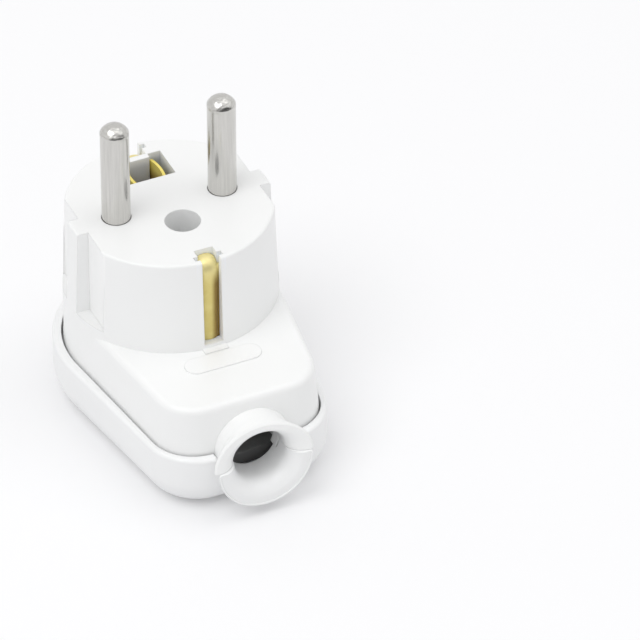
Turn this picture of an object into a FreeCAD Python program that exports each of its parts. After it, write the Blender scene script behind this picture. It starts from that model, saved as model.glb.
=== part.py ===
import FreeCAD, Part
import Sketcher
import math
import os
import re

# A mains plug that can be rewired: a moulded front housing with two round pins and earth clips in
# its sides, a moulded rear cover, and the terminals, earth bow and cord clamp that they enclose.
# The back face rests on z = 0, the boss axis is the z axis and the pins point up along +z.
# The pin line is the x axis and the cord leaves towards -y. All sizes are in millimetres.

doc = FreeCAD.newDocument("EarthedPlug")

# Driving sizes, each with its meaning
SIZES = [
    # Outside form of the two mouldings
    ("body_height", 37.0, "pin face above the back face"),
    ("flange_height", 19.5, "top of the skirt, where the boss stands"),
    ("rim_height", 10.8, "rim of the rear cover"),
    ("boss_face_radius", 17.4, "boss at the pin face"),
    ("boss_root_radius", 18.0, "boss at the flange"),
    ("skirt_radius", 18.1, "rear arc of the skirt at the rim"),
    ("skirt_front", 33.1, "front wall of the skirt at the rim, from the boss axis"),
    ("skirt_corner", 7.4, "front corners of the skirt at the rim"),
    ("skirt_taper", 8.0, "degrees that each side closes in towards the cord"),
    ("skirt_draft", 0.75, "how far the skirt leans in between the rim and the flange"),
    ("flange_edge", 1.2, "rounding of the flange edge"),
    ("face_edge", 0.45, "rounding of the pin face"),
    ("spigot_depth", 2.6, "how far the skirt reaches down into the cover"),
    ("rim_gap", 0.35, "gap between the skirt and the rim of the cover"),
    ("rim_wall", 1.5, "wall of the cover at its rim"),
    ("cover_taper", 9.2, "degrees that each side of the cover closes in"),
    ("cover_edge", 5.5, "rounding of the back face"),
    ("cover_rim_edge", 0.6, "rounding of the rim"),
    # Walls inside
    ("skirt_wall", 1.9, "wall of the skirt"),
    ("flange_thickness", 2.0, "top plate of the skirt"),
    ("face_thickness", 3.6, "plate that carries the pins"),
    ("cavity_radius", 13.6, "hollow of the boss"),
    ("cover_floor", 1.8, "floor of the cover"),
    ("ledge_width", 1.25, "ledge in the cover that the skirt stands on"),
    ("cover_inner_edge", 3.2, "rounding between the floor and the wall of the cover"),
    # Pins and their terminals
    ("pin_spacing", 19.0, "between the pin axes"),
    ("pin_radius", 2.4, "pin shank"),
    ("pin_length", 18.8, "pin above the face"),
    ("tip_height", 1.5, "domed tip of a pin"),
    ("pin_clearance", 0.08, "gap round a pin in the face plate"),
    ("pin_groove_depth", 0.3, "relief groove at the foot of a pin"),
    ("pin_groove_width", 1.0, "width of that groove, just below the face"),
    ("collar_radius", 3.7, "collar that bears on the face plate"),
    ("collar_thickness", 2.0, "thickness of the collar"),
    ("barrel_radius", 2.9, "terminal end of a pin"),
    ("barrel_length", 10.0, "terminal end below the collar"),
    ("wire_hole_radius", 1.5, "cross hole for the wire"),
    ("wire_hole_rise", 4.2, "cross hole above the end of the pin"),
    ("terminal_shank_radius", 1.25, "clamping screw of a pin"),
    ("terminal_head_radius", 2.4, "head of that screw"),
    ("terminal_head_height", 1.6, "height of that head"),
    ("terminal_reach", 3.0, "length of that screw inside the pin"),
    ("thread_clearance", 0.03, "radial gap where a thread runs"),
    ("screw_slot_width", 0.8, "driver slot"),
    ("screw_slot_depth", 0.7, "depth of a driver slot"),
    # Plate that traps the pins
    ("retainer_thickness", 2.5, "plate under the collars"),
    ("retainer_end_radius", 3.85, "round ends of the plate"),
    ("retainer_low", 0.6, "bar of the plate on the cord side of the pin line"),
    ("retainer_high", 5.0, "bar of the plate on the rear side of the pin line"),
    ("retainer_clearance", 0.1, "gap round a pin in the plate"),
    ("retainer_screw_offset", 2.4, "screw of the plate, from the pin line"),
    ("retainer_screw_radius", 0.95, "shank of that screw"),
    ("retainer_head_radius", 2.0, "head of that screw"),
    ("retainer_head_height", 1.4, "height of that head"),
    ("retainer_screw_length", 6.2, "shank of that screw"),
    ("retainer_post_radius", 2.2, "post under the face plate for that screw"),
    # Screw that joins the mouldings
    ("screw_offset", 5.5, "joining screw, from the pin line towards the cord"),
    ("screw_hole_radius", 3.0, "hole for the driver, above the head"),
    ("screw_tube_wall", 1.6, "wall of the tube round that hole"),
    ("screw_tube_end", 20.0, "lower end of the tube"),
    ("screw_seat", 2.0, "floor of the tube, under the head"),
    ("screw_shank_radius", 1.7, "shank of the joining screw"),
    ("screw_shank_clearance", 0.2, "gap round the shank"),
    ("screw_length", 14.0, "shank of the joining screw"),
    ("screw_head_radius", 2.35, "head of the joining screw"),
    ("screw_head_height", 2.2, "height of that head"),
    ("screw_head_gap", 0.15, "gap round and above that head in its pocket"),
    ("insert_radius", 2.5, "threaded insert"),
    ("insert_length", 8.0, "length of the insert"),
    ("insert_clearance", 0.02, "radial gap round the insert"),
    ("post_radius", 4.0, "post of the cover, above its shoulder"),
    ("post_shoulder", 1.0, "width of the shoulder that carries the earth bow"),
    ("end_room", 0.5, "room past the end of a screw"),
    ("head_lean", 0.15, "how much a screw head narrows"),
    # Slots, grooves and window of the boss
    ("slot_width", 3.3, "earth clip slot in the side of the boss"),
    ("slot_floor", 0.8, "foot of the slot above the flange"),
    ("pocket_depth", 13.8, "inner wall of the slot, from the boss axis"),
    ("guide_width", 4.9, "side grooves that guide a clip, tip to tip"),
    ("guide_inner", 15.4, "inner side of the guide grooves, from the boss axis"),
    ("guide_gap", 0.1, "gap on each side of a clip in its guide"),
    ("column_width", 6.8, "column that backs the front slot"),
    ("column_wall", 1.6, "wall between the front slot and the hollow"),
    ("groove_floor", 15.4, "flat of the side grooves, from the boss axis"),
    ("groove_rib", 4.1, "rib between the two grooves of a side"),
    ("groove_reach", 8.5, "outer end of the grooves, from the pin line"),
    ("groove_length", 16.0, "length of the grooves below the face"),
    ("window_width", 8.26, "window for an earth pin, along the pin line"),
    ("window_front", 7.0, "front edge of the window, from the pin line"),
    ("window_rear", 13.6, "rear edge of the window"),
    ("window_step", 0.95, "step in the rear edge, in front of the rear slot"),
    ("window_step_width", 3.7, "width of that step"),
    ("chute_wall", 1.2, "wall round the window, inside"),
    ("chute_end", 20.5, "lower end of the walls round the window"),
    ("pad_width", 13.5, "low pad on the flange, end to end"),
    ("pad_radius", 2.0, "round ends of the pad"),
    ("pad_offset", 21.5, "middle of the pad, from the pin line"),
    ("pad_height", 0.2, "height of the pad and of the sill at the slot"),
    ("sill_width", 4.2, "sill on the flange at the foot of the front slot"),
    ("sill_length", 1.2, "length of that sill, from the foot of the boss"),
    # Earth bow, leaf socket and earth terminal
    ("clip_thickness", 0.8, "strip of the earth bow"),
    ("clip_width", 4.5, "width of the strip"),
    ("clip_drop", 2.2, "top of the flat strip below the face"),
    ("bow_bend", 0.8, "inside bend of the strip"),
    ("bead_width", 3.0, "convex bead along a clip"),
    ("bead_height", 0.55, "height of the bead"),
    ("bead_drop", 0.8, "top of the bead below the face"),
    ("bow_ring_width", 2.6, "ring of the bow round the post"),
    ("bow_ring_clearance", 0.4, "gap between that ring and the post"),
    ("socket_offset", 10.1, "axis of the leaf socket, from the pin line"),
    ("leaf_gap", 2.55, "inner face of a leaf from the socket axis"),
    ("leaf_thickness", 0.5, "sheet of the leaves"),
    ("leaf_bend", 9.5, "outer radius of the bent leaves"),
    ("leaf_front", 2.4, "leaf and base in front of the socket axis"),
    ("leaf_rear", 3.1, "leaf behind the socket axis"),
    ("leaf_drop", 1.0, "top of the leaves below the face"),
    ("leaf_rib_radius", 0.45, "rib across a leaf that grips the earth pin"),
    ("leaf_rib_drop", 9.0, "that rib below the face"),
    ("leaf_rib_width", 3.2, "width of that rib"),
    ("rivet_radius", 1.2, "rivet through the leaf socket and the bow"),
    ("rivet_head_radius", 2.0, "heads of the rivet"),
    ("rivet_head_height", 0.8, "height of each head"),
    ("rivet_pad_radius", 3.6, "round pad of the bow under the leaf socket"),
    ("earth_screw_offset", 13.6, "earth terminal, from the pin line towards the cord"),
    ("earth_shank_radius", 1.6, "earth terminal screw"),
    ("earth_head_radius", 2.5, "head of that screw"),
    ("earth_head_height", 1.8, "height of that head"),
    ("earth_reach", 1.6, "end of that screw above the bow"),
    ("saddle_size", 5.6, "square saddle washer"),
    ("saddle_thickness", 0.9, "thickness of the saddle"),
    # Cord mouth and cord clamp
    ("mouth_height", 10.35, "axis of the cord mouth"),
    ("mouth_split", 0.03, "gap between its two halves"),
    ("throat_radius", 4.65, "straight bore of the mouth"),
    ("flare_radius", 3.3, "round of the lower bell, from throat to lip"),
    ("flare_length", 3.2, "outside of the lower bell, behind its lip"),
    ("mouth_front", 39.1, "lower lip of the mouth, from the boss axis"),
    ("neck_radius", 6.75, "outside of the neck"),
    ("lip_thickness", 0.4, "lip of the lower bell"),
    ("upper_setback", 0.65, "how far the upper lip stands behind the lower one"),
    ("upper_lean", 12.0, "degrees that the upper lip leans back"),
    ("upper_length", 3.3, "upper bell, from throat to lip"),
    ("upper_high", 1.7, "how much the upper bell opens upwards"),
    ("upper_wide", 3.5, "how much the upper bell opens to each side"),
    ("upper_overlap", 0.5, "how much wider the upper lip is than the lower one"),
    ("upper_rise", 0.15, "how far the upper lip stands above the neck"),
    ("upper_edge", 0.35, "bevel of the upper lip"),
    ("mouth_clearance", 0.3, "gap between the upper half and the cover"),
    ("clamp_offset", 26.5, "cord clamp, from the pin line"),
    ("clamp_spacing", 16.8, "between the clamp screws"),
    ("clamp_width", 5.6, "width of the clamp bar"),
    ("clamp_thickness", 2.6, "thickness of the clamp bar"),
    ("clamp_top", 6.0, "top of the clamp bar"),
    ("clamp_groove", 4.7, "radius of the cord's groove in the bar"),
    ("clamp_post_radius", 2.5, "posts that carry the clamp"),
    ("clamp_shank_radius", 1.1, "clamp screw"),
    ("clamp_shank_length", 8.0, "length of a clamp screw's shank"),
    ("clamp_head_radius", 2.2, "head of a clamp screw"),
    ("clamp_head_height", 1.25, "height of that head"),
    ("clamp_clearance", 0.2, "gap round a clamp screw in the bar"),
    ("rib_height", 14.9, "lower edge of the rib that meets the cord"),
    ("rib_width", 11.0, "length of that rib across the cord"),
    ("rib_thickness", 2.0, "thickness of that rib"),
    ("overshoot", 1.0, "how far a cut runs past a face"),
]

sheet = doc.addObject("Spreadsheet::Sheet", "Sizes")
for row, (alias, number, meaning) in enumerate(SIZES, 1):
    sheet.set(f"A{row}", meaning)
    sheet.set(f"B{row}", str(number))
    sheet.setAlias(f"B{row}", alias)
doc.recompute()
ALIASES = {alias for alias, number, meaning in SIZES}


def value(alias):
    """The number in a named cell."""
    return float(sheet.get(alias))


def formula(text):
    """Points each size named in a plain formula at its cell."""
    return re.sub(r"[a-z_]+", lambda m: "Sizes." + m.group() if m.group() in ALIASES else m.group(), text)


def bind(thing, **sizes):
    """Ties properties of an object to formulas in the sheet's names."""
    for name, text in sizes.items():
        thing.setExpression(name, formula(text))
    return thing


def place(thing, x="0", y="0", z="0"):
    """Ties an object's position to formulas in the sheet's names."""
    for axis, text in zip("xyz", (x, y, z)):
        thing.setExpression("Placement.Base." + axis, formula(text))
    return thing


def both(half):
    """A span that reaches the same distance each way."""
    return f"-({half})", half


def box(name, x, y, z):
    """A block between a low and a high formula on each axis."""
    block = doc.addObject("Part::Box", name)
    for side, (low, high) in zip(("Length", "Width", "Height"), (x, y, z)):
        bind(block, **{side: f"({high}) - ({low})"})
    return place(block, x[0], y[0], z[0])


def cylinder(name, radius, z, x="0", y="0"):
    """An upright cylinder between two heights."""
    low, high = z
    rod = bind(doc.addObject("Part::Cylinder", name), Radius=radius, Height=f"({high}) - ({low})")
    return place(rod, x, y, low)


def cone(name, lower, upper, z, x="0", y="0"):
    """An upright cone between two heights."""
    low, high = z
    round_taper = doc.addObject("Part::Cone", name)
    bind(round_taper, Radius1=lower, Radius2=upper, Height=f"({high}) - ({low})")
    return place(round_taper, x, y, low)


TOWARDS_CORD = FreeCAD.Rotation(FreeCAD.Vector(1, 0, 0), 90)


def along_cord(solid, y, z, x="0"):
    """Turns an upright solid so that it grows towards the cord, from one place on the y axis."""
    solid.Placement = FreeCAD.Placement(FreeCAD.Vector(), TOWARDS_CORD)
    return place(solid, x, y, z)


def fuse(name, *solids):
    """One solid from several."""
    joined = doc.addObject("Part::MultiFuse", name)
    joined.Shapes = list(solids)
    return joined


def cut(name, base, *tools):
    """A solid with others taken out of it."""
    result = doc.addObject("Part::Cut", name)
    result.Base = base
    result.Tool = tools[0] if len(tools) == 1 else fuse(name + "_tools", *tools)
    return result


def common(name, *solids):
    """What several solids share."""
    shared = doc.addObject("Part::MultiCommon", name)
    shared.Shapes = list(solids)
    return shared


def rounded(name, solid, radius, height, along_pins_only=False):
    """Rounds the edges of a solid that lie at one height, or only those along the pin line."""
    doc.recompute()
    chosen = []
    for index, edge in enumerate(solid.Shape.Edges, 1):
        points = edge.discretize(4)
        level = all(abs(point.z - height) < 1e-6 for point in points)
        across = abs(points[0].y - points[-1].y) > 1e-6 and along_pins_only
        if level and not across:
            chosen.append((index, radius, radius))
    smooth = doc.addObject("Part::Fillet", name)
    smooth.Base = solid
    smooth.Edges = chosen
    return smooth


def plan(name, grow, z, taper="skirt_taper"):
    """The skirt's outline from above, grown by a formula: a rear arc, tapered sides, a rounded front."""
    lean = math.radians(value("skirt_taper"))
    big, far, small = value("skirt_radius"), value("skirt_front"), value("skirt_corner")
    middle = big / math.cos(lean) - far * math.tan(lean) - small / math.tan(math.pi / 4 + lean / 2)

    def arc(x, y, radius, start, end):
        circle = Part.Circle(FreeCAD.Vector(x, y, 0), FreeCAD.Vector(0, 0, 1), radius)
        return Part.ArcOfCircle(circle, start, end)

    rear = arc(0, 0, big, -lean, math.pi + lean)
    left = arc(-middle, small - far, small, math.pi + lean, 1.5 * math.pi)
    right = arc(middle, small - far, small, -math.pi / 2, -lean)
    left_side = Part.LineSegment(rear.EndPoint, left.StartPoint)
    front = Part.LineSegment(left.EndPoint, right.StartPoint)
    right_side = Part.LineSegment(right.EndPoint, rear.StartPoint)
    sketch = doc.addObject("Sketcher::SketchObject", name)
    loop = [rear, left_side, left, front, right, right_side]
    sketch.addGeometry(loop, False)
    for edge in range(len(loop)):
        sketch.addConstraint(Sketcher.Constraint("Tangent", edge, 2, (edge + 1) % len(loop), 1))
    sketch.addConstraint(Sketcher.Constraint("Coincident", 0, 3, -1, 1))
    sketch.addConstraint(Sketcher.Constraint("Horizontal", 3))
    sketch.addConstraint(Sketcher.Constraint("Equal", 2, 4))
    driven = (
        ("rear_radius", Sketcher.Constraint("Radius", 0, big), f"skirt_radius + ({grow})"),
        ("corner_radius", Sketcher.Constraint("Radius", 2, small), f"skirt_corner + ({grow})"),
        ("front_reach", Sketcher.Constraint("DistanceY", 3, 1, -1, 1, far), f"skirt_front + ({grow})"),
        ("right_lean", Sketcher.Constraint("Angle", 5, math.pi / 2 - lean), f"(90 - {taper}) * 1 deg"),
        ("left_lean", Sketcher.Constraint("Angle", 1, lean - math.pi / 2), f"({taper} - 90) * 1 deg"),
    )
    for label, constraint, text in driven:
        sketch.renameConstraint(sketch.addConstraint(constraint), label)
        sketch.setExpression("Constraints." + label, formula(text))
    return place(sketch, z=z)


def loft(name, *outlines, straight=True):
    """A solid through outlines one after another, with straight or smoothly bent sides."""
    solid = doc.addObject("Part::Loft", name)
    solid.Sections = list(outlines)
    solid.Solid = True
    solid.Ruled = straight
    return solid


def raised(name, outline, height):
    """An outline carried straight up."""
    solid = doc.addObject("Part::Extrusion", name)
    solid.Base = outline
    solid.DirMode = "Normal"
    solid.Solid = True
    return bind(solid, LengthFwd=height)


def round_bar(name, radius, reach):
    """A cylinder on the axis of the cord mouth, between two distances from the boss axis."""
    near, far = reach
    bar = bind(doc.addObject("Part::Cylinder", name), Radius=radius, Height=f"({far}) - ({near})")
    return along_cord(bar, f"-({near})", "mouth_height")


def mouth_ring(name, ring, tube, reach):
    """A torus about the axis of the cord mouth."""
    torus = bind(doc.addObject("Part::Torus", name), Radius1=ring, Radius2=tube)
    return along_cord(torus, f"-({reach})", "mouth_height")


def mouth_oval(name, wide, high, reach, lean="0"):
    """An oval about the axis of the cord mouth, by half width and half height, leaning back by degrees."""
    oval = bind(doc.addObject("Part::Ellipse", name), MajorRadius=wide, MinorRadius=high)
    along_cord(oval, f"-({reach})", "mouth_height")
    return bind(oval, **{"Placement.Rotation.Angle": f"(90 - {lean}) * 1 deg"})


def screw(name, x, y, seat, shank, length, head, height, upward):
    """A slotted cheese-head screw whose head bears on a seat and whose shank points up or down from it."""
    way = "+" if upward else "-"
    back = "-" if upward else "+"
    shank_end, head_end = f"{seat} {way} {length}", f"{seat} {back} {height}"
    narrow = f"{head} - head_lean"
    slot_root = f"{head_end} {way} screw_slot_depth"
    slot_mouth = f"{head_end} {back} overshoot"
    if upward:
        rod = cylinder(name + "_shank", shank, (seat, shank_end), x, y)
        cap = cone(name + "_head", narrow, head, (head_end, seat), x, y)
        slot_span = (slot_mouth, slot_root)
    else:
        rod = cylinder(name + "_shank", shank, (shank_end, seat), x, y)
        cap = cone(name + "_head", head, narrow, (seat, head_end), x, y)
        slot_span = (slot_root, slot_mouth)
    slot_x = (f"{x} - {head} - overshoot", f"{x} + {head} + overshoot")
    slot_y = (f"{y} - screw_slot_width / 2", f"{y} + screw_slot_width / 2")
    return cut(name, fuse(name + "_blank", rod, cap), box(name + "_slot", slot_x, slot_y, slot_span))


SIDES = (("left", "-"), ("right", ""))
ENDS = (("front", -1), ("rear", 1))


def reach(side, near, far):
    """A span on the cord axis that lies on one side of the pin line."""
    return (near, far) if side > 0 else (f"-({far})", f"-({near})")


# Levels and places that several pieces share
FACE = "body_height"
PLATE_BACK = "body_height - face_thickness"
COLLAR_END = "body_height - face_thickness - collar_thickness"
BARREL_END = "body_height - face_thickness - collar_thickness - barrel_length"
RETAINER_BACK = "body_height - face_thickness - collar_thickness - retainer_thickness"
FLANGE_BACK = "flange_height - flange_thickness"
WEB_BACK = "flange_height - flange_thickness - clip_thickness"
SPIGOT_END = "rim_height - spigot_depth"
SCREW_SEAT = "screw_tube_end + screw_seat"
HEAD_TOP = "screw_tube_end + screw_seat + screw_head_height + screw_head_gap"
PIN_PLACE = "pin_spacing / 2"
CLAMP_PLACE = "clamp_spacing / 2"
CLAMP_BACK = "clamp_top - clamp_thickness"
CLIP_INNER = "guide_inner + guide_gap"
CLIP_OUTER = "guide_inner + guide_gap + clip_thickness"
PAST_FACE = "body_height + overshoot"
PAST_BOSS = "boss_root_radius + overshoot"
SKIRT_INSIDE = "skirt_front - skirt_wall"
LIP_RADIUS = "throat_radius + flare_radius"
LIP_OUTER = "throat_radius + flare_radius + lip_thickness"
UPPER_FRONT = "mouth_front - upper_setback"
UPPER_OUTER = "throat_radius + flare_radius + lip_thickness + upper_overlap"
UPPER_TOP = "neck_radius + upper_rise"

# Cord mouth: one throat, a round lower bell, and an oval upper bell that stands further back
throat = round_bar("throat", "throat_radius", (f"{SKIRT_INSIDE} - overshoot", "mouth_front"))
lower_bell = cut(
    "lower_bell",
    round_bar("lower_bell_room", LIP_RADIUS, ("mouth_front - flare_radius", "mouth_front + overshoot")),
    mouth_ring("lower_bell_round", LIP_RADIUS, "flare_radius", "mouth_front - flare_radius"),
)
upper_bends = []
for angle in (0, 30, 60, 90):
    opened = f"(1 - cos({angle} deg))"
    upper_bends.append(mouth_oval(f"upper_bend_{angle}", f"throat_radius + upper_wide * {opened}",
                                  f"throat_radius + upper_high * {opened}",
                                  f"{UPPER_FRONT} - upper_length * (1 - sin({angle} deg))",
                                  f"upper_lean * {angle} / 90"))
upper_bell = loft("upper_bell", *upper_bends, straight=False)


def mouth_half(name, flare, start, z):
    """Half of the cord mouth's wall: the neck and a flare, kept between two heights."""
    neck = round_bar(name + "_neck", "neck_radius", (SKIRT_INSIDE, f"{UPPER_FRONT} - upper_length"))
    kept = box(name + "_kept", both("2 * neck_radius"), ("-mouth_front - overshoot", f"-({start})"), z)
    return common(name, fuse(name + "_whole", neck, *flare), kept)


lower_cone = doc.addObject("Part::Cone", "lower_cone")
bind(lower_cone, Radius1="neck_radius", Radius2=LIP_OUTER, Height="flare_length - lip_thickness / 2")
along_cord(lower_cone, "flare_length - mouth_front", "mouth_height")
lower_lip = mouth_ring("lower_lip", f"{LIP_RADIUS} + lip_thickness / 2", "lip_thickness / 2",
                       "mouth_front - lip_thickness / 2")
lower_neck = round_bar("lower_neck", "neck_radius", (SKIRT_INSIDE, "mouth_front - flare_length"))
upper_form = loft(
    "upper_form",
    mouth_oval("upper_root", "neck_radius", "neck_radius", f"{UPPER_FRONT} - upper_length"),
    mouth_oval("upper_edge_back", UPPER_OUTER, UPPER_TOP, f"{UPPER_FRONT} - upper_edge", "upper_lean"),
    mouth_oval("upper_edge_front", f"{UPPER_OUTER} - upper_edge", f"{UPPER_TOP} - upper_edge",
               UPPER_FRONT, "upper_lean"),
)


# Front housing: one white moulding, its outside form first
skirt_rim = plan("skirt_rim_outline", "0", "rim_height")
skirt_top = plan("skirt_top_outline", "-skirt_draft", "flange_height")
skirt_form = rounded("skirt_form", loft("skirt_sharp", skirt_rim, skirt_top), value("flange_edge"),
                     value("flange_height"))
spigot = raised("spigot", plan("spigot_outline", "0", SPIGOT_END), "spigot_depth")
boss_root = cylinder("boss_root", "boss_root_radius", ("rim_height + rim_gap", "flange_height"))
boss_sharp = cone("boss_sharp", "boss_root_radius", "boss_face_radius", ("flange_height", FACE))
boss_form = rounded("boss_form", boss_sharp, value("face_edge"), value("body_height"))
housing_form = fuse("housing_form", skirt_form, spigot, boss_root, boss_form)

boss_hollow = cylinder("boss_hollow", "cavity_radius", (f"{SPIGOT_END} - overshoot", PLATE_BACK))
hollow_low = plan("skirt_hollow_low", "-skirt_wall", f"{SPIGOT_END} - overshoot")
hollow_top = plan("skirt_hollow_top", "-skirt_wall - skirt_draft", FLANGE_BACK)
skirt_hollow = loft("skirt_hollow", hollow_low, hollow_top)
housing_shell = cut("housing_shell", housing_form, boss_hollow, skirt_hollow)

PAD_Z = (FLANGE_BACK, "flange_height + pad_height")
PAD_END = "pad_width / 2 - pad_radius"
PAD_Y = reach(-1, "pad_offset - pad_radius", "pad_offset + pad_radius")
added_walls = [
    box("pad_middle", both(PAD_END), PAD_Y, PAD_Z),
    box("slot_sill", both("sill_width / 2"),
        reach(-1, "boss_root_radius - overshoot", "boss_root_radius + sill_length"), PAD_Z),
    cylinder("screw_tube", "screw_hole_radius + screw_tube_wall", ("screw_tube_end", PLATE_BACK),
             y="-screw_offset"),
    box("chute", both("window_width / 2 + chute_wall"), ("window_front - chute_wall", "pocket_depth"),
        ("chute_end", PLATE_BACK)),
    box("column", both("column_width / 2"), reach(-1, "pocket_depth - column_wall", "guide_inner"),
        ("flange_height", PLATE_BACK)),
    cylinder("retainer_post", "retainer_post_radius", (COLLAR_END, PLATE_BACK), y="retainer_screw_offset"),
    box("cord_rib", both("rib_width / 2"), reach(-1, "clamp_offset - rib_thickness / 2",
        "clamp_offset + rib_thickness / 2"), ("rib_height", FLANGE_BACK)),
    mouth_half("mouth_upper", [upper_form], SKIRT_INSIDE,
               ("mouth_height + mouth_split", "mouth_height + 2 * neck_radius")),
]
for side, sign in SIDES:
    added_walls.append(cylinder(f"pad_end_{side}", "pad_radius", PAD_Z, f"{sign}({PAD_END})", "-pad_offset"))
    added_walls.append(cylinder(f"clamp_post_{side}", "clamp_post_radius", ("clamp_top", FLANGE_BACK),
                                f"{sign}{CLAMP_PLACE}", "-clamp_offset"))

WINDOW_Z = ("chute_end - overshoot", PAST_FACE)
window_room = box("window_room", both("window_width / 2"), ("window_front", "window_rear"), WINDOW_Z)
window_step = box("window_step_block", both("window_step_width / 2"),
                  ("window_rear - window_step", "window_rear + overshoot"), WINDOW_Z)
RETAINER_PILOT_END = f"{RETAINER_BACK} + retainer_screw_length + end_room"
openings = [
    upper_bell,
    throat,
    cut("window", window_room, window_step),
    cylinder("screw_hole", "screw_hole_radius", (HEAD_TOP, PAST_FACE), y="-screw_offset"),
    cylinder("screw_head_pocket", "screw_head_radius + screw_head_gap", (SCREW_SEAT, HEAD_TOP),
             y="-screw_offset"),
    cylinder("screw_shank_hole", "screw_shank_radius + screw_shank_clearance",
             ("screw_tube_end - overshoot", f"{SCREW_SEAT} + overshoot"), y="-screw_offset"),
    cylinder("retainer_pilot", "retainer_screw_radius + thread_clearance",
             (f"{COLLAR_END} - overshoot", RETAINER_PILOT_END), y="retainer_screw_offset"),
    cylinder("earth_screw_pocket", "earth_shank_radius + screw_shank_clearance",
             (f"{FLANGE_BACK} - overshoot", f"{FLANGE_BACK} + earth_reach + end_room"),
             y="-earth_screw_offset"),
]
for side, sign in SIDES:
    openings.append(cylinder(f"pin_hole_{side}", "pin_radius + pin_clearance",
                             (f"{PLATE_BACK} - overshoot", PAST_FACE), f"{sign}{PIN_PLACE}"))
    openings.append(cylinder(f"clamp_pilot_{side}", "clamp_shank_radius + thread_clearance",
                             ("clamp_top - overshoot", f"{CLAMP_BACK} + clamp_shank_length + end_room"),
                             f"{sign}{CLAMP_PLACE}", "-clamp_offset"))
for end, way in ENDS:
    openings.append(box(f"clip_slot_{end}", both("slot_width / 2"), reach(way, "pocket_depth", PAST_BOSS),
                        ("flange_height + slot_floor", PAST_FACE)))
    openings.append(box(f"clip_guide_{end}", both("guide_width / 2"), reach(way, "guide_inner",
                        f"{CLIP_OUTER} + guide_gap"), (f"{WEB_BACK} - overshoot", PAST_FACE)))
    openings.append(box(f"bend_relief_{end}", both("guide_width / 2"),
                        reach(way, f"{CLIP_INNER} - bow_bend", CLIP_INNER),
                        (f"{WEB_BACK} - overshoot", f"{FLANGE_BACK} + bow_bend")))
    for side, facing in (("left", -1), ("right", 1)):
        openings.append(box(f"side_groove_{end}_{side}", reach(facing, "groove_floor", PAST_BOSS),
                            reach(way, "groove_rib / 2", "groove_reach"),
                            ("body_height - groove_length", PAST_FACE)))
cut("front_housing", fuse("housing_walls", housing_shell, *added_walls), *openings)

# Rear cover: a white cup with a rebated rim, a post for the joining screw and the lower half of the mouth
COVER_GROW = "(rim_gap + rim_wall)"
cover_sharp = raised("cover_sharp", plan("cover_outline", COVER_GROW, "0", "cover_taper"), "rim_height")
cover_back = rounded("cover_back", cover_sharp, value("cover_edge"), 0.0)
cover_form = rounded("cover_form", cover_back, value("cover_rim_edge"), value("rim_height"))
rebate = raised("rebate", plan("rebate_outline", "rim_gap", SPIGOT_END), "spigot_depth + overshoot")
cup_sharp = raised("cup_sharp", plan("cup_outline", "rim_gap - ledge_width", "cover_floor"),
                   f"{SPIGOT_END} - cover_floor + overshoot")
cup = rounded("cup", cup_sharp, value("cover_inner_edge"), value("cover_floor"))
cover_walls = fuse(
    "cover_walls",
    cut("cover_shell", cover_form, rebate, cup),
    cylinder("post", "post_radius", ("cover_floor / 2", "screw_tube_end"), y="-screw_offset"),
    cylinder("post_foot", "post_radius + post_shoulder", ("cover_floor / 2", WEB_BACK), y="-screw_offset"),
    mouth_half("mouth_lower", [lower_neck, lower_cone, lower_lip], "skirt_front + rim_gap",
               ("mouth_height - 2 * neck_radius", "mouth_height")),
)
cut(
    "rear_cover",
    cover_walls,
    lower_bell,
    throat,
    box("mouth_notch", both("neck_radius + mouth_clearance"), (f"-skirt_front - {COVER_GROW} - overshoot",
        "-skirt_front"), ("mouth_height", "rim_height + overshoot")),
    cylinder("insert_hole", "insert_radius + insert_clearance",
             ("screw_tube_end - insert_length", "screw_tube_end + overshoot"), y="-screw_offset"),
    cylinder("screw_end_hole", "screw_shank_radius + screw_shank_clearance",
             (f"{SCREW_SEAT} - screw_length - end_room", "screw_tube_end"), y="-screw_offset"),
)

# Pins: turned, with a domed tip, a collar under the face plate and a drilled terminal end
TIP_BEND = "(pin_radius * pin_radius + tip_height * tip_height) / (2 * tip_height)"
PAST_TIP = "body_height + pin_length + overshoot"
for pin, sign in (("line", "-"), ("neutral", "")):
    x = f"{sign}{PIN_PLACE}"
    ball = place(bind(doc.addObject("Part::Sphere", f"{pin}_ball"), Radius=TIP_BEND), x, "0",
                 f"body_height + pin_length - {TIP_BEND}")
    tip = common(f"{pin}_tip", ball, cylinder(f"{pin}_tip_rod", "pin_radius", (FACE, PAST_TIP), x))
    blank = fuse(
        f"{pin}_blank",
        tip,
        cylinder(f"{pin}_shank", "pin_radius", (COLLAR_END, "body_height + pin_length - tip_height"), x),
        cylinder(f"{pin}_collar", "collar_radius", (COLLAR_END, PLATE_BACK), x),
        cylinder(f"{pin}_barrel", "barrel_radius", (BARREL_END, COLLAR_END), x),
    )
    wire_hole = bind(doc.addObject("Part::Cylinder", f"{pin}_wire_hole"), Radius="wire_hole_radius",
                     Height="2 * (barrel_radius + overshoot)")
    along_cord(wire_hole, "barrel_radius + overshoot", f"{BARREL_END} + wire_hole_rise", x)
    thread = cylinder(f"{pin}_thread", "terminal_shank_radius + thread_clearance",
                      (f"{BARREL_END} - overshoot", f"{BARREL_END} + wire_hole_rise"), x)
    groove_z = ("body_height - pin_groove_width", FACE)
    groove = cut(f"{pin}_groove", cylinder(f"{pin}_groove_room", "pin_radius + overshoot", groove_z, x),
                 cylinder(f"{pin}_groove_core", "pin_radius - pin_groove_depth", groove_z, x))
    cut(f"{pin}_pin", blank, wire_hole, thread, groove)
    screw(f"{pin}_terminal_screw", x, "0", BARREL_END, "terminal_shank_radius", "terminal_reach",
          "terminal_head_radius", "terminal_head_height", upward=True)

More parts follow.
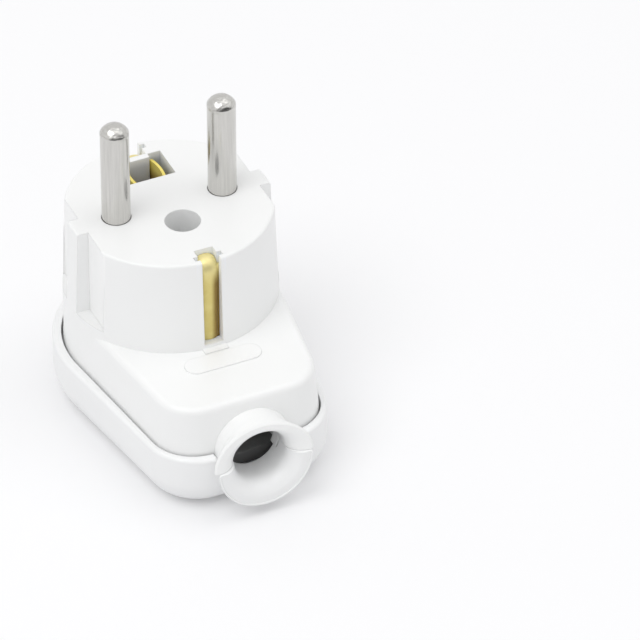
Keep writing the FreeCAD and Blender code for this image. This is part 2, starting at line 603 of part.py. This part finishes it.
# Pin retainer: a moulded plate that traps both collars, with one screw
RETAINER_Z = (RETAINER_BACK, COLLAR_END)
RETAINER_CUT = (f"{RETAINER_BACK} - overshoot", f"{COLLAR_END} + overshoot")
retainer_form = [box("retainer_bar", both(PIN_PLACE), ("-retainer_low", "retainer_high"), RETAINER_Z)]
retainer_holes = [cylinder("retainer_screw_hole", "retainer_screw_radius + screw_shank_clearance",
                           RETAINER_CUT, y="retainer_screw_offset")]
for side, sign in SIDES:
    x = f"{sign}{PIN_PLACE}"
    retainer_form.append(cylinder(f"retainer_end_{side}", "retainer_end_radius", RETAINER_Z, x))
    retainer_holes.append(cylinder(f"retainer_hole_{side}", "barrel_radius + retainer_clearance",
                                   RETAINER_CUT, x))
cut("pin_retainer", fuse("retainer_form", *retainer_form), *retainer_holes)
screw("pin_retainer_screw", "0", "retainer_screw_offset", RETAINER_BACK, "retainer_screw_radius",
      "retainer_screw_length", "retainer_head_radius", "retainer_head_height", upward=True)

# Earth bow: one brass strip bent to a U, with a ring round the post; each clip has a convex bead that is
# turned in at the top to a round nose
WEB_Z = (WEB_BACK, FLANGE_BACK)
web_top = value("flange_height") - value("flange_thickness")
web_low = web_top - value("clip_thickness")
bow_block = box("bow_block", both("clip_width / 2"), both(CLIP_OUTER), (WEB_BACK, "body_height - clip_drop"))
bow_room = box("bow_room", both("clip_width"), both(CLIP_INNER), (FLANGE_BACK, FACE))
bow_outer = rounded("bow_outer", bow_block, value("bow_bend") + value("clip_thickness"), web_low, True)
bow_inner = rounded("bow_inner", bow_room, value("bow_bend"), web_top, True)
BEAD_BEND = "(bead_width * bead_width / 4 + bead_height * bead_height) / (2 * bead_height)"
bow_form = [
    cut("bow_strip", bow_outer, bow_inner),
    cylinder("bow_ring", "post_radius + bow_ring_clearance + bow_ring_width", WEB_Z, y="-screw_offset"),
    cylinder("rivet_pad", "rivet_pad_radius", WEB_Z, y="socket_offset"),
]
for end, way in ENDS:
    sign = "-" if way < 0 else ""
    y = f"{sign}({CLIP_OUTER} + bead_height - {BEAD_BEND})"
    bead_top = f"body_height - bead_drop - {BEAD_BEND}"
    rod = cylinder(f"bead_rod_{end}", BEAD_BEND, ("flange_height + slot_floor + guide_gap", bead_top), y=y)
    dome = bind(doc.addObject("Part::Sphere", f"bead_dome_{end}"), Radius=BEAD_BEND)
    place(dome, "0", y, bead_top)
    crown = box(f"bead_crown_{end}", both("bead_width"), reach(way, f"{CLIP_INNER} + clip_thickness / 2",
                f"{CLIP_OUTER} + 2 * bead_height"), ("flange_height", FACE))
    nose_room = box(f"bead_nose_room_{end}", both("bead_width / 2"), reach(way, "pocket_depth + guide_gap",
                    f"{CLIP_OUTER} + 2 * bead_height"), (bead_top, FACE))
    bow_form.append(common(f"bead_{end}", fuse(f"bead_form_{end}", rod, dome), crown))
    bow_form.append(common(f"bead_nose_{end}", dome, nose_room))
WEB_CUT = (f"{WEB_BACK} - overshoot", f"{FLANGE_BACK} + overshoot")
cut(
    "earth_bow",
    fuse("bow_form", *bow_form),
    cylinder("bow_ring_hole", "post_radius + bow_ring_clearance", WEB_CUT, y="-screw_offset"),
    cylinder("bow_rivet_hole", "rivet_radius", WEB_CUT, y="socket_offset"),
    cylinder("bow_screw_hole", "earth_shank_radius + thread_clearance", WEB_CUT, y="-earth_screw_offset"),
)

# Earth socket: two bent leaves on one base, with a rib across each leaf
LEAF_Y = ("socket_offset - leaf_front", "socket_offset + leaf_rear")
BASE_Y = ("socket_offset - leaf_front", "socket_offset + leaf_front")
LEAF_Z = (FLANGE_BACK, "body_height - leaf_drop")
leaves = [box("socket_base", both("leaf_gap + leaf_thickness"), BASE_Y,
              (FLANGE_BACK, f"{FLANGE_BACK} + leaf_thickness"))]
for side, facing in (("left", -1), ("right", 1)):
    sign = "-" if facing < 0 else ""
    centre = f"{sign}(leaf_gap + leaf_thickness - leaf_bend)"
    outer = cylinder(f"leaf_outer_{side}", "leaf_bend", LEAF_Z, centre, "socket_offset")
    inner = cylinder(f"leaf_inner_{side}", "leaf_bend - leaf_thickness", LEAF_Z, centre, "socket_offset")
    leaf_x = reach(facing, "leaf_gap / 2", "leaf_gap + 2 * leaf_thickness")
    kept = box(f"leaf_kept_{side}", leaf_x, LEAF_Y, LEAF_Z)
    leaves.append(common(f"leaf_{side}", cut(f"leaf_ring_{side}", outer, inner), kept))
    rib = doc.addObject("Part::Cylinder", f"leaf_rib_{side}")
    bind(rib, Radius="leaf_rib_radius", Height="leaf_rib_width")
    leaves.append(along_cord(rib, "socket_offset + leaf_rib_width / 2", "body_height - leaf_rib_drop",
                             f"{sign}(leaf_gap + leaf_thickness / 2)"))
cut("earth_socket", fuse("socket_form", *leaves),
    cylinder("socket_rivet_hole", "rivet_radius", (f"{FLANGE_BACK} - overshoot",
             f"{FLANGE_BACK} + leaf_thickness + overshoot"), y="socket_offset"))
BASE_TOP = f"{FLANGE_BACK} + leaf_thickness"
fuse(
    "earth_rivet",
    cylinder("rivet_shank", "rivet_radius", (WEB_BACK, BASE_TOP), y="socket_offset"),
    cone("rivet_head_low", "rivet_head_radius - head_lean", "rivet_head_radius",
         (f"{WEB_BACK} - rivet_head_height", WEB_BACK), y="socket_offset"),
    cone("rivet_head_top", "rivet_head_radius", "rivet_head_radius - head_lean",
         (BASE_TOP, f"{BASE_TOP} + rivet_head_height"), y="socket_offset"),
)

# Earth terminal: a saddle washer and its screw, threaded into the bow
SADDLE_BACK = f"{WEB_BACK} - saddle_thickness"
cut(
    "earth_saddle",
    box("saddle_plate", both("saddle_size / 2"), reach(-1, "earth_screw_offset - saddle_size / 2",
        "earth_screw_offset + saddle_size / 2"), (SADDLE_BACK, WEB_BACK)),
    cylinder("saddle_hole", "earth_shank_radius + screw_shank_clearance",
             (f"{SADDLE_BACK} - overshoot", f"{WEB_BACK} + overshoot"), y="-earth_screw_offset"),
)
EARTH_SHANK = "(saddle_thickness + clip_thickness + earth_reach)"
screw("earth_terminal_screw", "0", "-earth_screw_offset", SADDLE_BACK, "earth_shank_radius", EARTH_SHANK,
      "earth_head_radius", "earth_head_height", upward=True)

# Cord clamp: a moulded bar with a shallow groove, screwed up against two posts of the housing
CLAMP_Z = (CLAMP_BACK, "clamp_top")
CLAMP_Y = reach(-1, "clamp_offset - clamp_width / 2", "clamp_offset + clamp_width / 2")
clamp_form = [box("clamp_bar", both(CLAMP_PLACE), CLAMP_Y, CLAMP_Z)]
CORD_SPAN = ("clamp_offset - clamp_width", "clamp_offset + clamp_width")
clamp_cuts = [round_bar("clamp_cord_groove", "clamp_groove", CORD_SPAN)]
for side, sign in SIDES:
    x = f"{sign}{CLAMP_PLACE}"
    clamp_form.append(cylinder(f"clamp_end_{side}", "clamp_width / 2", CLAMP_Z, x, "-clamp_offset"))
    clamp_cuts.append(cylinder(f"clamp_hole_{side}", "clamp_shank_radius + clamp_clearance",
                               (f"{CLAMP_BACK} - overshoot", "clamp_top + overshoot"), x, "-clamp_offset"))
    screw(f"cord_clamp_screw_{side}", x, "-clamp_offset", CLAMP_BACK, "clamp_shank_radius",
          "clamp_shank_length", "clamp_head_radius", "clamp_head_height", upward=True)
cut("cord_clamp", fuse("clamp_form", *clamp_form), *clamp_cuts)

# Joining screw and the brass insert that it runs into
screw("housing_screw", "0", "-screw_offset", SCREW_SEAT, "screw_shank_radius", "screw_length",
      "screw_head_radius", "screw_head_height", upward=False)
INSERT_Z = ("screw_tube_end - insert_length", "screw_tube_end")
cut(
    "threaded_insert",
    cylinder("insert_blank", "insert_radius", INSERT_Z, y="-screw_offset"),
    cylinder("insert_bore", "screw_shank_radius + thread_clearance",
             (f"{INSERT_Z[0]} - overshoot", f"{INSERT_Z[1]} + overshoot"), y="-screw_offset"),
)

# Every piece, checked and then written out
PIECES = [
    "front_housing", "rear_cover", "line_pin", "neutral_pin", "line_terminal_screw",
    "neutral_terminal_screw", "pin_retainer", "pin_retainer_screw", "earth_bow", "earth_socket",
    "earth_rivet", "earth_saddle", "earth_terminal_screw", "cord_clamp", "cord_clamp_screw_left",
    "cord_clamp_screw_right", "housing_screw", "threaded_insert",
]
doc.recompute()
for thing in doc.Objects:
    faults = [state for state in thing.State if state in ("Invalid", "Error")]
    if faults:
        raise RuntimeError(f"{thing.Name} did not compute: {faults}")
for name in PIECES:
    shape = doc.getObject(name).Shape
    if shape.isNull() or not shape.isValid() or len(shape.Solids) != 1:
        raise RuntimeError(f"{name} is not one sound solid")
os.makedirs("parts", exist_ok=True)
for name in PIECES:
    piece = doc.getObject(name)
    piece.Label = name
    piece.Shape.exportStep(os.path.join("parts", name + ".step"))
    print(f"{name}: {piece.Shape.Volume:.1f} mm3, {len(piece.Shape.Faces)} faces")
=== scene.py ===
"""A white earthed mains plug with two round pins, standing on its back cover."""
import math

import bpy
from mathutils import Matrix, Vector

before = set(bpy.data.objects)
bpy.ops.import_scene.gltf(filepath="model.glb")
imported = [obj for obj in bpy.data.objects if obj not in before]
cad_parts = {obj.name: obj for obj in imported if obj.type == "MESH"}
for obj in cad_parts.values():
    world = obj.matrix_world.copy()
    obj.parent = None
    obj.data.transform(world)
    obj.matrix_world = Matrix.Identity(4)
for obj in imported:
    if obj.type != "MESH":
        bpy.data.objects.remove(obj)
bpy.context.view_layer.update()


# Front housing: the round boss, the flange and the tapering skirt in one piece, which carries the rest.
# It is moulded in white thermoset plastic with a satin gloss.
# Painted shade greys its window's walls and the feet of its side grooves, painted light whitens the groove
# flats, and its side slots' walls are a bluer white.
MM = 0.001
HOUSING_WHITE, FLOW_SHADE, PLASTIC_IOR = (0.925, 0.93, 0.927), 0.985, 1.5
FLOW_SIZE, GLOSS_PATCH, MOULD_GLOSS = 14 * MM, 3 * MM, (0.29, 0.37)
MOULD_GRAIN, MOULD_DEPTH, MOULD_STRENGTH = 0.5 * MM, 0.003 * MM, 0.2
WORN_EDGE, EDGE_SAMPLES = 0.2 * MM, 8
SMOOTH_BELOW, SAME_POINT, LARGE_FACES_FIRST = math.radians(28), 0.001 * MM, 100
NOISE_LOW, NOISE_HIGH = 0.3, 0.7
# The window's and the groove feet's greys are painted shade; the groove flats' white is painted light.
WELL_PAINTED_SHADE, LEDGE_PAINTED_SHADE = (0.63, 0.66, 0.72), (0.856, 0.861, 0.858)
GROOVE_PAINTED_LIGHT, SLOT_WHITE = (0.952, 0.955, 0.952), (0.92, 0.95, 1.0)
WELL_WALLS = [("Z", 37.2, 35.0), ("X", 4.3, 4.2, True), ("Y", 6.8, 6.9), ("Y", 13.75, 13.65)]
GROOVE_FLATS = [("X", 14.6, 15.2, True), ("Y", 2.1, 2.3, True), ("Y", 8.8, 8.5, True),
                ("Z", 20.8, 20.98), ("Z", 36.7, 36.4)]
GROOVE_FEET = GROOVE_FLATS + [("Z", 21.3, 21.02)]
SLOT_WALLS = [("X", 2.65, 2.55, True), ("Y", 13.5, 13.7, True), ("Y", 17.35, 17.1, True), ("Z", 36.9, 36.6)]


def shade_by_angle(node):
    """Joins a node's triangles and shades them smooth, except across edges sharper than the limit."""
    group = bpy.data.node_groups.new(node.name + "_shading", "GeometryNodeTree")
    group.interface.new_socket("Mesh", in_out="INPUT", socket_type="NodeSocketGeometry")
    group.interface.new_socket("Mesh", in_out="OUTPUT", socket_type="NodeSocketGeometry")
    start, end = group.nodes.new("NodeGroupInput"), group.nodes.new("NodeGroupOutput")
    joined = group.nodes.new("GeometryNodeMergeByDistance")
    joined.inputs["Distance"].default_value = SAME_POINT
    faces = group.nodes.new("GeometryNodeSetShadeSmooth")
    edges = group.nodes.new("GeometryNodeSetShadeSmooth")
    edges.domain = "EDGE"
    edges.inputs["Shade Smooth"].default_value = False
    angle = group.nodes.new("GeometryNodeInputMeshEdgeAngle")
    sharp = group.nodes.new("FunctionNodeCompare")
    sharp.operation = "GREATER_THAN"
    sharp.inputs["B"].default_value = SMOOTH_BELOW
    group.links.new(start.outputs[0], joined.inputs["Geometry"])
    group.links.new(joined.outputs["Geometry"], faces.inputs["Geometry"])
    group.links.new(faces.outputs["Geometry"], edges.inputs["Geometry"])
    group.links.new(angle.outputs["Unsigned Angle"], sharp.inputs["A"])
    group.links.new(sharp.outputs["Result"], edges.inputs["Selection"])
    group.links.new(edges.outputs["Geometry"], end.inputs[0])
    node.modifiers.new("shading", "NODES").node_group = group
    flat = node.modifiers.new("flat_faces", "WEIGHTED_NORMAL")
    flat.weight = LARGE_FACES_FIRST
    flat.keep_sharp = True


def dress(node_name, material):
    """Gives a CAD node one material and smooth shading."""
    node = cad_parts[node_name]
    node.data.materials.clear()
    node.data.materials.append(material)
    shade_by_angle(node)


def finish(name, **sockets):
    """A new material, its node tree and its shader, with the sockets that are the same all over."""
    material = bpy.data.materials.new(name)
    material.use_nodes = True
    shader = material.node_tree.nodes["Principled BSDF"]
    for socket, amount in sockets.items():
        shader.inputs[socket.replace("_", " ")].default_value = amount
    return material, material.node_tree, shader


def grain(tree, size, stretch=(1, 1, 1), detail=2.0):
    """Noise in object space by the size of its grains in metres, stretched along the axes."""
    place = tree.nodes.new("ShaderNodeTexCoord")
    pulled = tree.nodes.new("ShaderNodeMapping")
    pulled.inputs["Scale"].default_value = [1 / part for part in stretch]
    noise = tree.nodes.new("ShaderNodeTexNoise")
    noise.inputs["Scale"].default_value = 1 / size
    noise.inputs["Detail"].default_value = detail
    tree.links.new(place.outputs["Object"], pulled.inputs["Vector"])
    tree.links.new(pulled.outputs["Vector"], noise.inputs["Vector"])
    return noise.outputs["Fac"]


def spread(tree, source, low, high):
    """Maps a noise from its usual range to the values between low and high."""
    scale = tree.nodes.new("ShaderNodeMapRange")
    scale.inputs["From Min"].default_value = NOISE_LOW
    scale.inputs["From Max"].default_value = NOISE_HIGH
    scale.inputs["To Min"].default_value = low
    scale.inputs["To Max"].default_value = high
    tree.links.new(source, scale.inputs["Value"])
    return scale.outputs["Result"]


def blend_colours(tree, source, first, second):
    """Two colours mixed by a noise."""
    ramp = tree.nodes.new("ShaderNodeValToRGB")
    ends = zip(ramp.color_ramp.elements, (NOISE_LOW, NOISE_HIGH), (first, second))
    for end, position, colour in ends:
        end.position = position
        end.color = (*colour, 1)
    tree.links.new(source, ramp.inputs["Fac"])
    return ramp.outputs["Color"]


def darker(colour, shade):
    """A colour times one number."""
    return [part * shade for part in colour]


def relief(tree, shader, source, depth, strength=1.0):
    """Raises a surface by a noise times a depth in metres, on the shader's normal."""
    bump = tree.nodes.new("ShaderNodeBump")
    bump.inputs["Distance"].default_value = depth
    bump.inputs["Strength"].default_value = strength
    tree.links.new(source, bump.inputs["Height"])
    tree.links.new(bump.outputs["Normal"], shader.inputs["Normal"])


def soften_edges(tree):
    """Turns the normal towards its neighbour's within a worn edge's radius, under the grain."""
    edge = tree.nodes.new("ShaderNodeBevel")
    edge.samples = EDGE_SAMPLES
    edge.inputs["Radius"].default_value = WORN_EDGE
    tree.links.new(edge.outputs["Normal"], tree.nodes["Bump"].inputs["Normal"])


def moulded_white(name, colour):
    """Satin white moulding: colour that drifts with the flow, patches of gloss and a fine grain."""
    material, tree, shader = finish(name, IOR=PLASTIC_IOR)
    flow = grain(tree, FLOW_SIZE, detail=3)
    drift = blend_colours(tree, flow, darker(colour, FLOW_SHADE), colour)
    gloss = spread(tree, grain(tree, GLOSS_PATCH), *MOULD_GLOSS)
    tree.links.new(drift, shader.inputs["Base Color"])
    tree.links.new(gloss, shader.inputs["Roughness"])
    relief(tree, shader, grain(tree, MOULD_GRAIN), MOULD_DEPTH, MOULD_STRENGTH)
    soften_edges(tree)
    return material


def along_axis(tree, axis, low, high, mirrored=False):
    """A value that goes from 0 to 1 between two places in mm on an axis, or on both its sides."""
    place = tree.nodes.new("ShaderNodeTexCoord")
    parts = tree.nodes.new("ShaderNodeSeparateXYZ")
    tree.links.new(place.outputs["Object"], parts.inputs["Vector"])
    source = parts.outputs[axis]
    if mirrored:
        away = tree.nodes.new("ShaderNodeMath")
        away.operation = "ABSOLUTE"
        tree.links.new(source, away.inputs[0])
        source = away.outputs["Value"]
    rise = tree.nodes.new("ShaderNodeMapRange")
    rise.interpolation_type = "SMOOTHSTEP"
    rise.inputs["From Min"].default_value = low * MM
    rise.inputs["From Max"].default_value = high * MM
    tree.links.new(source, rise.inputs["Value"])
    return rise.outputs["Result"]


def product(tree, first, second):
    """Two values multiplied."""
    both = tree.nodes.new("ShaderNodeMath")
    both.operation = "MULTIPLY"
    tree.links.new(first, both.inputs[0])
    tree.links.new(second, both.inputs[1])
    return both.outputs["Value"]


def within(tree, limits):
    """A value that is 1 where every limit is passed, else 0; a limit holds what along_axis takes."""
    inside = along_axis(tree, *limits[0])
    for limit in limits[1:]:
        inside = product(tree, inside, along_axis(tree, *limit))
    return inside


def paint_within(material, limits, colour):
    """Mixes a second colour into a material within some limits."""
    tree = material.node_tree
    base = tree.nodes["Principled BSDF"].inputs["Base Color"]
    mix = tree.nodes.new("ShaderNodeMix")
    mix.data_type = "RGBA"
    mix.inputs["B"].default_value = (*colour, 1)
    tree.links.new(within(tree, limits), mix.inputs["Factor"])
    tree.links.new(base.links[0].from_socket, mix.inputs["A"])
    tree.links.new(mix.outputs["Result"], base)


housing = moulded_white("housing_moulding", HOUSING_WHITE)
# Painted shade: the window's walls grey deeper down.
paint_within(housing, WELL_WALLS, WELL_PAINTED_SHADE)
# Painted light: a whiter colour on the flats of the side grooves.
paint_within(housing, GROOVE_FLATS, GROOVE_PAINTED_LIGHT)
# Painted shade: a grey on the lit feet of the side grooves.
paint_within(housing, GROOVE_FEET, LEDGE_PAINTED_SHADE)
paint_within(housing, SLOT_WALLS, SLOT_WHITE)
dress("front_housing", housing)


# Line and neutral pins: turned brass bars with domed tips, plated with nickel.
# Each goes through the housing's face plate, and its collar bears on the plate from behind.
# The barrel below the collar takes the wire and a clamping screw.
PIN_NICKEL, RUB_SHADE, PIN_GLOSS = (0.66, 0.65, 0.625), 0.86, (0.16, 0.25)
RUB_WIDTH, RUB_STRETCH = 0.25 * MM, (1, 1, 30)
TIP, DENT_SIZE, DENT_DEPTH = ("Z", 53.6, 54.6), 1.0 * MM, 0.25 * MM


def nickel_plate(name):
    """Bright plating over a drawn bar: faint rubs along it from use, and shallow dents on its tip."""
    material, tree, shader = finish(name, Metallic=1.0)
    rubs = grain(tree, RUB_WIDTH, stretch=RUB_STRETCH)
    dents = product(tree, grain(tree, DENT_SIZE, detail=3), along_axis(tree, *TIP))
    worn = blend_colours(tree, rubs, darker(PIN_NICKEL, RUB_SHADE), PIN_NICKEL)
    tree.links.new(worn, shader.inputs["Base Color"])
    tree.links.new(spread(tree, rubs, *PIN_GLOSS), shader.inputs["Roughness"])
    relief(tree, shader, dents, DENT_DEPTH)
    return material


pin_plating = nickel_plate("pin_plating")
for pin in ("line_pin", "neutral_pin"):
    dress(pin, pin_plating)


# Screws of the terminals, retainer, cord clamp and housing, and the earth terminal's saddle washer.
# They are steel, zinc plated to a dull silver. The screws are rolled and slotted, the saddle is stamped.
# Each clamps a wire or holds a moulding from inside.
ZINC, CLOUD_SHADE, ZINC_GLOSS = (0.60, 0.61, 0.62), 0.85, (0.3, 0.42)
ZINC_CLOUD, FROST, FROST_DEPTH, FROST_STRENGTH = 1.2 * MM, 0.08 * MM, 0.003 * MM, 0.5
FASTENERS = ["line_terminal_screw", "neutral_terminal_screw", "pin_retainer_screw", "earth_terminal_screw",
             "cord_clamp_screw_left", "cord_clamp_screw_right", "housing_screw", "earth_saddle"]


def zinc_plate(name):
    """Dull plating with a fine frost and slow clouds of tone."""
    material, tree, shader = finish(name, Metallic=1.0)
    clouds = grain(tree, ZINC_CLOUD, detail=3)
    tone = blend_colours(tree, clouds, darker(ZINC, CLOUD_SHADE), ZINC)
    tree.links.new(tone, shader.inputs["Base Color"])
    tree.links.new(spread(tree, clouds, *ZINC_GLOSS), shader.inputs["Roughness"])
    relief(tree, shader, grain(tree, FROST), FROST_DEPTH, FROST_STRENGTH)
    return material


zinc = zinc_plate("zinc_plating")
for fastener in FASTENERS:
    dress(fastener, zinc)


# Pin retainer and cord clamp: two small bars moulded in dark grey nylon.
# One is screwed down behind the pins' collars, the other is screwed to two posts and grips the cord.
NYLON, NYLON_SHADE, NYLON_IOR, NYLON_GLOSS = (0.29, 0.292, 0.295), 0.8, 1.53, (0.5, 0.62)
NYLON_CLOUD, NYLON_GRAIN, NYLON_DEPTH, NYLON_STRENGTH = 4 * MM, 0.25 * MM, 0.012 * MM, 0.7


def moulded_nylon(name):
    """Matt, slightly cloudy moulding with a coarse mould grain."""
    material, tree, shader = finish(name, IOR=NYLON_IOR)
    clouds = grain(tree, NYLON_CLOUD, detail=3)
    tone = blend_colours(tree, clouds, darker(NYLON, NYLON_SHADE), NYLON)
    tree.links.new(tone, shader.inputs["Base Color"])
    tree.links.new(spread(tree, clouds, *NYLON_GLOSS), shader.inputs["Roughness"])
    relief(tree, shader, grain(tree, NYLON_GRAIN, detail=3), NYLON_DEPTH, NYLON_STRENGTH)
    return material


nylon = moulded_nylon("nylon_moulding")
for bar in ("pin_retainer", "cord_clamp"):
    dress(bar, nylon)


# Earth bow, earth-pin socket, rivet and threaded insert: bare brass, dulled by age.
# The bow is one stamped and bent strip that shows in both side slots; the socket is riveted to it.
# A paler brass on the clips' noses is a painted highlight; a dark brass on their +X side, wider lower down,
# and on the leaf deep in the window is painted shade.
CLIP_BRASS, CLIP_DARK = (0.775, 0.665, 0.262), (0.70, 0.575, 0.195)
CLIP_METAL, CLIP_GLOSS = 0.6, (0.42, 0.52)
LEAF_BRASS, LEAF_DARK = (0.96, 0.82, 0.22), (0.88, 0.72, 0.15)
LEAF_METAL, LEAF_GLOSS = 0.25, (0.34, 0.44)
ROLLED_LINE, LINE_STRETCH, LINE_DEPTH, LINE_STRENGTH = 0.1 * MM, (1, 1, 40), 0.002 * MM, 0.6
# The paler nose brass is a painted highlight; the dark brass is painted shade.
BRASS_CLOUD, NOSE_PAINTED_HIGHLIGHT, BRASS_PAINTED_SHADE = 2.5 * MM, (0.875, 0.77, 0.365), (0.36, 0.24, 0.06)
CLIP_NOSE, CLIP_SIDE = [("Z", 31.5, 35.5)], [("X", -0.1, 1.0), ("Z", 34.6, 31.0)]
DEEP_LEAF = [("Z", 35.6, 32.4)]


def rolled_brass(name, bright, dark, metallic, gloss):
    """Dull rolled brass: long fine lines of the rolling along its length and slow clouds of tone."""
    material, tree, shader = finish(name, Metallic=metallic)
    lines = grain(tree, ROLLED_LINE, stretch=LINE_STRETCH)
    clouds = blend_colours(tree, grain(tree, BRASS_CLOUD, detail=4), dark, bright)
    tree.links.new(clouds, shader.inputs["Base Color"])
    tree.links.new(spread(tree, lines, *gloss), shader.inputs["Roughness"])
    relief(tree, shader, lines, LINE_DEPTH, LINE_STRENGTH)
    return material


clip_brass = rolled_brass("clip_brass", CLIP_BRASS, CLIP_DARK, CLIP_METAL, CLIP_GLOSS)
# Painted highlight: paler brass on the clips' noses.
paint_within(clip_brass, CLIP_NOSE, NOSE_PAINTED_HIGHLIGHT)
# Painted shade: dark brass on the clips' +X side, wider lower down.
paint_within(clip_brass, CLIP_SIDE, BRASS_PAINTED_SHADE)
dress("earth_bow", clip_brass)
leaf_brass = rolled_brass("leaf_brass", LEAF_BRASS, LEAF_DARK, LEAF_METAL, LEAF_GLOSS)
# Painted shade: the leaf's brass darkens deeper in the window.
paint_within(leaf_brass, DEEP_LEAF, BRASS_PAINTED_SHADE)
for contact in ("earth_socket", "earth_rivet", "threaded_insert"):
    dress(contact, leaf_brass)


# Rear cover: the tray that closes the plug and that it stands on, with the lower half of the cord mouth.
# It is moulded in the same white plastic and is held by the screw between the pins.
COVER_WHITE = (0.92, 0.925, 0.927)
dress("rear_cover", moulded_white("cover_moulding", COVER_WHITE))


# Studio: a pale floor that keeps the plug's shadow, a white surround, and soft light from above.
# The metal mirrors a darker side of the room. The camera stands where the photograph was taken from.
FLOOR_COLOUR, FLOOR_GLOW, FLOOR_REACH = (0.81, 0.81, 0.82), 0.14, 2
SURROUND, LIT_ROOM, DARK_ROOM = 0.73, 1.2, 0.1
DARK_SIDE, DARK_EDGE, DARK_MIDDLE = (0.013, -0.906, -0.423), 0.25, 0.65
LAMP_WIDTH, LAMP_AIM = 1.0, Vector((0, 0, 0.03))
LEFT_WATTS, LEFT_PLACE = 5.5, (-0.62, -0.22, 1.22)
RIGHT_WATTS, RIGHT_PLACE = 2.1, (0.6, -0.15, 1.25)
AZIMUTH, ELEVATION, ROLL = math.radians(-24.205), math.radians(38.35), math.radians(0.138)
DISTANCE, PICTURE, PIXELS_PER_MM, SENSOR = 1.2, 640, 6.078, 36
BOSS_PIXEL, BOSS_TOP = (169.402, 201.962), Vector((0, 0, 37 * MM))

corners = [(x * FLOOR_REACH, y * FLOOR_REACH, 0) for x, y in ((-1, -1), (1, -1), (1, 1), (-1, 1))]
floor_mesh = bpy.data.meshes.new("floor")
floor_mesh.from_pydata(corners, [], [(0, 1, 2, 3)])
floor = bpy.data.objects.new("floor", floor_mesh)
bpy.context.scene.collection.objects.link(floor)
floor_paint, floor_tree, floor_shader = finish("floor_paint", Base_Color=(*FLOOR_COLOUR, 1), Roughness=1.0,
                                               Specular_IOR_Level=0.0, Emission_Color=(1, 1, 1, 1))
ray = floor_tree.nodes.new("ShaderNodeLightPath")
seen = floor_tree.nodes.new("ShaderNodeMath")
seen.operation = "MAXIMUM"
glow = floor_tree.nodes.new("ShaderNodeMath")
glow.operation = "MULTIPLY"
glow.inputs[1].default_value = FLOOR_GLOW
floor_tree.links.new(ray.outputs["Is Camera Ray"], seen.inputs[0])
floor_tree.links.new(ray.outputs["Is Glossy Ray"], seen.inputs[1])
floor_tree.links.new(seen.outputs["Value"], glow.inputs[0])
floor_tree.links.new(glow.outputs["Value"], floor_shader.inputs["Emission Strength"])
floor_mesh.materials.append(floor_paint)

world = bpy.data.worlds.new("surround")
bpy.context.scene.world = world
world.use_nodes = True
room_tree = world.node_tree
sky = room_tree.nodes["Background"]
sky.inputs["Strength"].default_value = SURROUND
direction = room_tree.nodes.new("ShaderNodeTexCoord")
facing = room_tree.nodes.new("ShaderNodeVectorMath")
facing.operation = "DOT_PRODUCT"
facing.inputs[1].default_value = DARK_SIDE
room = room_tree.nodes.new("ShaderNodeMapRange")
room.interpolation_type = "SMOOTHSTEP"
room.inputs["From Min"].default_value = DARK_EDGE
room.inputs["From Max"].default_value = DARK_MIDDLE
room.inputs["To Min"].default_value = LIT_ROOM
room.inputs["To Max"].default_value = DARK_ROOM
bounce = room_tree.nodes.new("ShaderNodeLightPath")
shown = room_tree.nodes.new("ShaderNodeMix")
shown.inputs["A"].default_value = 1
room_tree.links.new(direction.outputs["Generated"], facing.inputs[0])
room_tree.links.new(facing.outputs["Value"], room.inputs["Value"])
room_tree.links.new(bounce.outputs["Is Glossy Ray"], shown.inputs["Factor"])
room_tree.links.new(room.outputs["Result"], shown.inputs["B"])
room_tree.links.new(shown.outputs["Result"], sky.inputs["Color"])


def softbox(name, watts, place):
    """A round area lamp that looks at the middle of the plug."""
    lamp = bpy.data.objects.new(name, bpy.data.lights.new(name, "AREA"))
    bpy.context.scene.collection.objects.link(lamp)
    lamp.data.energy = watts
    lamp.data.shape = "DISK"
    lamp.data.size = LAMP_WIDTH
    lamp.location = place
    lamp.rotation_euler = (LAMP_AIM - lamp.location).to_track_quat("-Z", "Y").to_euler()


softbox("upper_left_lamp", LEFT_WATTS, LEFT_PLACE)
softbox("upper_right_lamp", RIGHT_WATTS, RIGHT_PLACE)

ahead = Vector((math.sin(AZIMUTH), -math.cos(AZIMUTH), 0))
back = ahead * math.cos(ELEVATION) + Vector((0, 0, math.sin(ELEVATION)))
level = Vector((math.cos(AZIMUTH), math.sin(AZIMUTH), 0))
steep = back.cross(level)
right = level * math.cos(ROLL) - steep * math.sin(ROLL)
up = level * math.sin(ROLL) + steep * math.cos(ROLL)
across, down = [(PICTURE / 2 - pixel) / PIXELS_PER_MM * MM for pixel in BOSS_PIXEL]
eye = BOSS_TOP + right * across - up * down + back * DISTANCE
camera = bpy.data.objects.new("camera", bpy.data.cameras.new("camera"))
bpy.context.scene.collection.objects.link(camera)
camera.data.sensor_width = SENSOR
camera.data.lens = SENSOR * PIXELS_PER_MM / MM * DISTANCE / PICTURE
camera.matrix_world = Matrix.Translation(eye) @ Matrix((right, up, back)).transposed().to_4x4()
bpy.context.scene.camera = camera
bpy.context.scene.view_settings.view_transform = "Standard"
